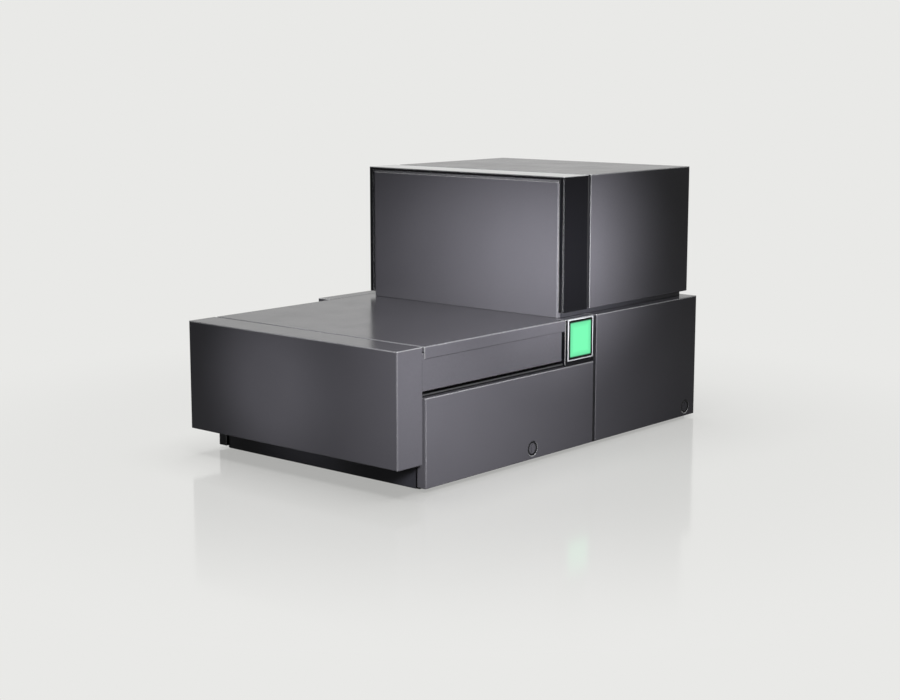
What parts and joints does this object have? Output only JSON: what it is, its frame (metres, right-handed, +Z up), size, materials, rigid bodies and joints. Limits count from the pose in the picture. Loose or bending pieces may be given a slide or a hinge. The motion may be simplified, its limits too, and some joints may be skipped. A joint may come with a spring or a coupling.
{
  "type": "liquid scintillation counter",
  "caption": "Benchtop liquid scintillation counter: low sheet-metal body with a sample drawer, a shielded detector tower and a small square status display.",
  "frame": {"origin": "centre of the overall box on the bench surface", "axes": "+Z up, +Y to the back, +X to the user's right"},
  "size_m": [0.5526, 0.893, 0.509],
  "materials": {
    "cover_paint": "fine textured powder coat, satin",
    "frame_gloss": "black, polished",
    "frame_zinc": "zinc-plated steel sheet",
    "slide_steel": "rolled and ground steel",
    "rail_strip": "extruded, clear anodised",
    "tray_aluminium": "milled plate",
    "rack_plastic": "moulded, fine matt",
    "shield_lead": "cast lead, dull",
    "chamber_white": "white reflector",
    "tube_glass": "evacuated glass tube",
    "socket_black": "moulded",
    "lock_chrome": "polished",
    "screen_green": "lit panel under clear plastic",
    "board_green": "fibreglass board",
    "motor_black": "painted",
    "foot_rubber": "moulded"
  },
  "bodies": {
    "chassis": {"base_pan": "frame_zinc", "base_feet": "foot_rubber", "front_plinth": "cover_paint", "inner_walls": "frame_zinc", "bulkhead": "frame_zinc", "side_panel_front_right": "cover_paint", "side_panel_front_left": "cover_paint", "side_panel_rear_right": "cover_paint", "side_panel_rear_left": "cover_paint", "lock_rings": "lock_chrome", "rear_panel": "cover_paint", "cover_screws": "slide_steel", "deck_cover": "cover_paint", "skirt_rails": "rail_strip", "slide_outer_members": "slide_steel", "tower_base": "frame_zinc", "tower_frame": "frame_gloss", "tower_front_panel": "cover_paint", "tower_casing": "cover_paint", "tower_gasket": "foot_rubber", "tower_rear_cover": "cover_paint", "display_housing": "frame_gloss", "display_bezel": "lock_chrome", "status_screen": "screen_green", "display_board": "board_green", "side_duct": "cover_paint", "lift_guide": "slide_steel", "lift_motor": "motor_black", "shutter_housing": "frame_zinc", "lead_shield_lower": "shield_lead", "lead_shield_ring": "shield_lead", "lead_shield_cap": "shield_lead", "measuring_chamber": "chamber_white", "photomultiplier_tubes": "tube_glass", "tube_sockets": "socket_black", "high_voltage_supply": "frame_zinc", "power_supply": "frame_zinc", "main_board": "board_green", "power_entry": "socket_black", "cooling_fan": "socket_black"},
    "drawer": {"drawer_front": "cover_paint", "drawer_back_plate": "frame_zinc", "drawer_skirts": "cover_paint", "drawer_pan": "frame_zinc", "slide_inner_members": "slide_steel", "tray_rails": "slide_steel"},
    "slide_middle": {"slide_middle_members": "slide_steel"},
    "carriage": {"tray_carriage": "tray_aluminium"},
    "tray": {"rack_tray": "tray_aluminium", "vial_rack_front": "rack_plastic", "vial_rack_rear": "rack_plastic"},
    "lift_sleeve": {"lift_sleeve": "slide_steel"},
    "lift_piston": {"lift_piston": "slide_steel"},
    "shutter": {"shutter_disc": "slide_steel"},
    "lock_front_right": {"lock_front_right": "lock_chrome"},
    "lock_front_left": {"lock_front_left": "lock_chrome"},
    "lock_rear_right": {"lock_rear_right": "lock_chrome"},
    "lock_rear_left": {"lock_rear_left": "lock_chrome"},
    "rocker": {"power_rocker": "socket_black"},
    "fan_rotor": {"fan_rotor": "socket_black"}
  },
  "joints": [
    {"name": "drawer_slide", "type": "slide", "parent": "chassis", "child": "drawer", "axis": [0, -1, 0], "range_m": [0, 0.32]},
    {"name": "slide_middle_travel", "type": "slide", "parent": "chassis", "child": "slide_middle", "axis": [0, -1, 0], "range_m": [0, 0.16]},
    {"name": "tray_travel", "type": "slide", "parent": "drawer", "child": "carriage", "axis": [0, 1, 0], "range_m": [0, 0.5103]},
    {"name": "tray_cross", "type": "slide", "parent": "carriage", "child": "tray", "axis": [1, 0, 0], "range_m": [-0.093, 0.093]},
    {"name": "lift_extend", "type": "slide", "parent": "chassis", "child": "lift_sleeve", "axis": [0, 0, 1], "range_m": [0, 0.087]},
    {"name": "lift_reach", "type": "slide", "parent": "lift_sleeve", "child": "lift_piston", "axis": [0, 0, 1], "range_m": [0, 0.087]},
    {"name": "shutter_turn", "type": "hinge", "parent": "chassis", "child": "shutter", "pos_m": [0.01625, 0.2185, 0.209], "axis": [0, 0, 1], "range_deg": [0, 140]},
    {"name": "lock_front_right_turn", "type": "hinge", "parent": "chassis", "child": "lock_front_right", "pos_m": [0.27125, -0.088, 0.0255], "axis": [1, 0, 0], "range_deg": [0, 90]},
    {"name": "lock_front_left_turn", "type": "hinge", "parent": "chassis", "child": "lock_front_left", "pos_m": [-0.23875, -0.088, 0.0255], "axis": [-1, 0, 0], "range_deg": [0, 90]},
    {"name": "lock_rear_right_turn", "type": "hinge", "parent": "chassis", "child": "lock_rear_right", "pos_m": [0.27125, 0.413, 0.0255], "axis": [1, 0, 0], "range_deg": [0, 90]},
    {"name": "lock_rear_left_turn", "type": "hinge", "parent": "chassis", "child": "lock_rear_left", "pos_m": [-0.23875, 0.413, 0.0255], "axis": [-1, 0, 0], "range_deg": [0, 90]},
    {"name": "rocker_tip", "type": "hinge", "parent": "chassis", "child": "rocker", "pos_m": [-0.10375, 0.439, 0.06], "axis": [1, 0, 0], "range_deg": [0, 22]},
    {"name": "fan_spin", "type": "hinge", "parent": "chassis", "child": "fan_rotor", "pos_m": [0.16625, 0.4295, 0.16], "axis": [0, 1, 0], "continuous": true}
  ],
  "couplings": [
    {"joint": "slide_middle_travel", "follows": "drawer_slide", "ratio": 0.5},
    {"joint": "lift_reach", "follows": "lift_extend", "ratio": 1},
    {"joint": "shutter_turn", "follows": "lift_extend", "rad_per_m": 28.08}
  ]
}
